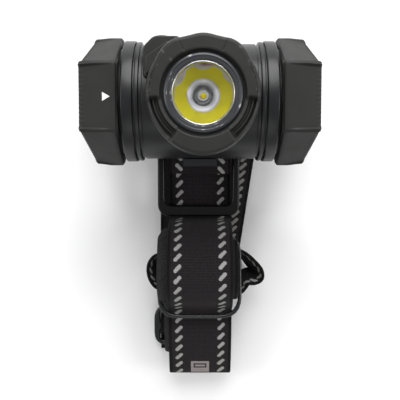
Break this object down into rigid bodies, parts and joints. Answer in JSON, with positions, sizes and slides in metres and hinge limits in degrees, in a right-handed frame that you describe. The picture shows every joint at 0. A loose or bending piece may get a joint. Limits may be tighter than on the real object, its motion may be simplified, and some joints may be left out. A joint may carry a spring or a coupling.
{
  "type": "headlamp",
  "caption": "Headlamp lying on its back: a crosswise battery tube with a lens head and hexagonal end caps, tilting in a cradle on a bracket with folded elastic straps.",
  "frame": {"origin": "on the table that the straps lie on, straight below the middle of the battery tube's axis", "axes": "+X along the battery tube, away from the end cap that unscrews; +Y across the tube, away from the straps; +Z out of the lens"},
  "size_m": [0.0798, 0.1313, 0.0665],
  "materials": {
    "anodised": "satin black anodised",
    "guard": "matte dark grey, fine grain",
    "ring_metal": "dark satin metal",
    "mirror": "vacuum-coated mirror",
    "glass": "clear, coated",
    "rubber": "matte black",
    "plastic": "black moulded plastic",
    "board": "green circuit board",
    "aluminium": "turned",
    "contact": "plated spring metal",
    "phosphor": "yellow phosphor under silicone",
    "ceramic": "white",
    "cell_sleeve": "plain grey shrink sleeve",
    "marking": "white pad print",
    "steel": "plated",
    "foam": "soft dark foam",
    "webbing": "woven elastic, reflective thread",
    "buckle": "satin black",
    "patch": "woven grey label, blank"
  },
  "bodies": {
    "bracket": {"strap_plate": "plastic", "cradle": "plastic", "cradle_screw_1": "steel", "cradle_screw_2": "steel", "cradle_screw_3": "steel", "cradle_screw_4": "steel", "forehead_pad": "foam", "crown_strap": "webbing", "crown_strap_return": "webbing", "label_patch": "patch", "headband_right": "webbing", "headband_left": "webbing", "headband_folds": "webbing", "headband_left_bulge": "webbing", "headband_right_bulge": "webbing", "crown_ring": "buckle", "slide_buckle": "buckle"},
    "lamp": {"body_tube": "anodised", "head_housing": "anodised", "bezel_guard": "guard", "switch_housing": "guard", "right_end_cap": "guard", "lens_ring": "ring_metal", "lens_seal": "rubber", "right_cap_seal": "rubber", "lens": "glass", "reflector": "mirror", "led_insulator": "ceramic", "led_base": "ceramic", "led_board": "ceramic", "led_dome": "phosphor", "heat_sink": "aluminium", "driver_board": "board", "switch_board": "board", "right_contact_board": "board", "tactile_switch": "steel", "battery_cartridge": "plastic", "cell_1": "cell_sleeve", "cell_2": "cell_sleeve", "cell_3": "cell_sleeve", "contact_strip_right": "contact", "contact_strip_left": "contact", "right_contact_spring": "contact"},
    "button": {"switch_button": "rubber"},
    "cap_carrier": {"left_cap_seal": "rubber"},
    "cap": {"left_end_cap": "guard", "left_contact_board": "board", "left_contact_spring": "contact", "open_mark": "marking"}
  },
  "joints": [
    {"name": "lamp_tilt", "type": "hinge", "parent": "bracket", "child": "lamp", "pos_m": [0, 0, 0.035], "axis": [1, 0, 0], "range_deg": [-40, 40]},
    {"name": "button_press", "type": "slide", "parent": "lamp", "child": "button", "axis": [0, -1, 0], "range_m": [0, 0.0008], "stiffness_N_per_m": 800, "springref_m": -0.001},
    {"name": "cap_travel", "type": "slide", "parent": "lamp", "child": "cap_carrier", "axis": [-1, 0, 0], "range_m": [0, 0.003]},
    {"name": "cap_turn", "type": "hinge", "parent": "cap_carrier", "child": "cap", "pos_m": [0, 0, 0.035], "axis": [-1, 0, 0], "range_deg": [0, 720]}
  ],
  "couplings": [
    {"joint": "cap_travel", "follows": "cap_turn", "m_per_rad": 0.00023873}
  ]
}
